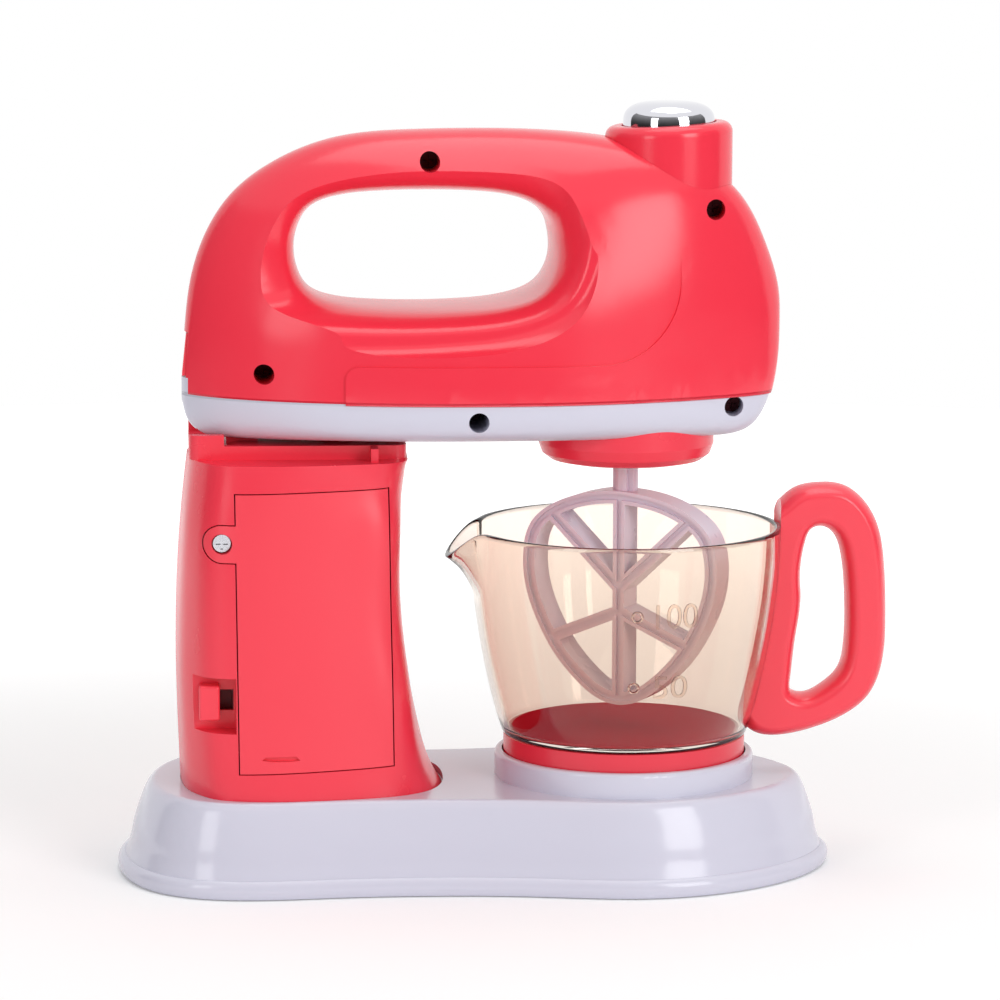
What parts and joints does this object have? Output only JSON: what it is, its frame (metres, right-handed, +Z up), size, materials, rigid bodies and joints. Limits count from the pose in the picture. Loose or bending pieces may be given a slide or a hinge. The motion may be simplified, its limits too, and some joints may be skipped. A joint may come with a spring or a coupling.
{
  "type": "toy stand mixer",
  "caption": "Toy stand mixer with a tilting head that has a hand hole, a turning beater in a clear bowl with a handle and spout, and a column with a battery door on a waisted base",
  "frame": {"origin": "on the table, on the flat underside of the base, below the middle of the part", "axes": "+X from the column towards the bowl's handle, +Z up from the table, +Y away from the side with the battery door; Y is the narrowest way across"},
  "size_m": [0.1935, 0.0848, 0.1921],
  "materials": {
    "white": "smooth moulded, light gloss",
    "red": "smooth moulded, soft gloss",
    "red_column": "smooth moulded, soft gloss",
    "red_door": "smooth moulded, soft gloss",
    "clear_amber": "clear, tinted, polished",
    "beater": "smooth moulded",
    "chrome": "bright plating",
    "steel": "plain",
    "spring": "plain wire",
    "motor": "plain can",
    "grey_plastic": "plain moulded",
    "gear": "plain moulded",
    "cell": "printed sleeve"
  },
  "bodies": {
    "stand": {"base_shell": "white", "base_plate": "white", "base_screws": "steel", "column_shell_near": "red_column", "column_shell_far": "red_column", "column_screws": "steel", "neck_block": "red_column", "hinge_pin": "steel", "battery_tray": "grey_plastic", "battery_cells": "cell", "battery_contacts": "spring", "slide_switch": "grey_plastic"},
    "door": {"battery_door": "red_door", "door_screw": "steel"},
    "switch": {"switch_knob": "white"},
    "head": {"head_shell_near": "red", "head_shell_far": "red", "skirt_near": "white", "skirt_far": "white", "head_screws": "steel", "skirt_screws": "steel", "button_collar": "red", "push_switch": "grey_plastic", "button_spring": "spring", "release_guide": "grey_plastic", "gear_plate_lower": "grey_plastic", "gear_plate_upper": "grey_plastic", "motor": "motor", "spindle_bush": "grey_plastic", "nozzle": "red"},
    "button": {"chrome_button": "chrome"},
    "release": {"release_button": "red", "release_spring": "spring"},
    "beater": {"beater": "beater", "spindle": "gear", "output_gear": "gear"},
    "gear": {"compound_gear": "gear"},
    "pinion": {"motor_pinion": "gear"},
    "bowl": {"bowl": "clear_amber", "bowl_foot": "red_column", "bowl_handle": "red_door"}
  },
  "joints": [
    {"name": "head_tilt", "type": "hinge", "parent": "stand", "child": "head", "pos_m": [-0.0695, 0, 0.1175], "axis": [0, -1, 0], "range_deg": [0, 40]},
    {"name": "beater_spin", "type": "hinge", "parent": "head", "child": "beater", "pos_m": [0.0315, 0, 0.11], "axis": [0, 0, 1], "continuous": true},
    {"name": "gear_spin", "type": "hinge", "parent": "head", "child": "gear", "pos_m": [0.0159, 0, 0.119], "axis": [0, 0, 1], "continuous": true},
    {"name": "pinion_spin", "type": "hinge", "parent": "head", "child": "pinion", "pos_m": [0.02825, 0, 0.122], "axis": [0, 0, 1], "continuous": true},
    {"name": "button_press", "type": "slide", "parent": "head", "child": "button", "axis": [0, 0, -1], "range_m": [0, 0.0018], "stiffness_N_per_m": 400, "springref_m": -0.001, "deforming": ["button_spring"]},
    {"name": "release_press", "type": "slide", "parent": "head", "child": "release", "axis": [1, 0, 0], "range_m": [0, 0.0015], "stiffness_N_per_m": 300, "springref_m": -0.0005},
    {"name": "switch_slide", "type": "slide", "parent": "stand", "child": "switch", "axis": [1, 0, 0], "range_m": [0, 0.0036]},
    {"name": "door_off", "type": "slide", "parent": "stand", "child": "door", "axis": [0, -1, 0], "range_m": [0, 0.012]},
    {"name": "bowl_lift", "type": "slide", "parent": "stand", "child": "bowl", "axis": [0, 0, 1], "range_m": [0, 0.005]}
  ],
  "couplings": [
    {"joint": "gear_spin", "follows": "beater_spin", "ratio": -3},
    {"joint": "pinion_spin", "follows": "beater_spin", "ratio": 8.4}
  ]
}
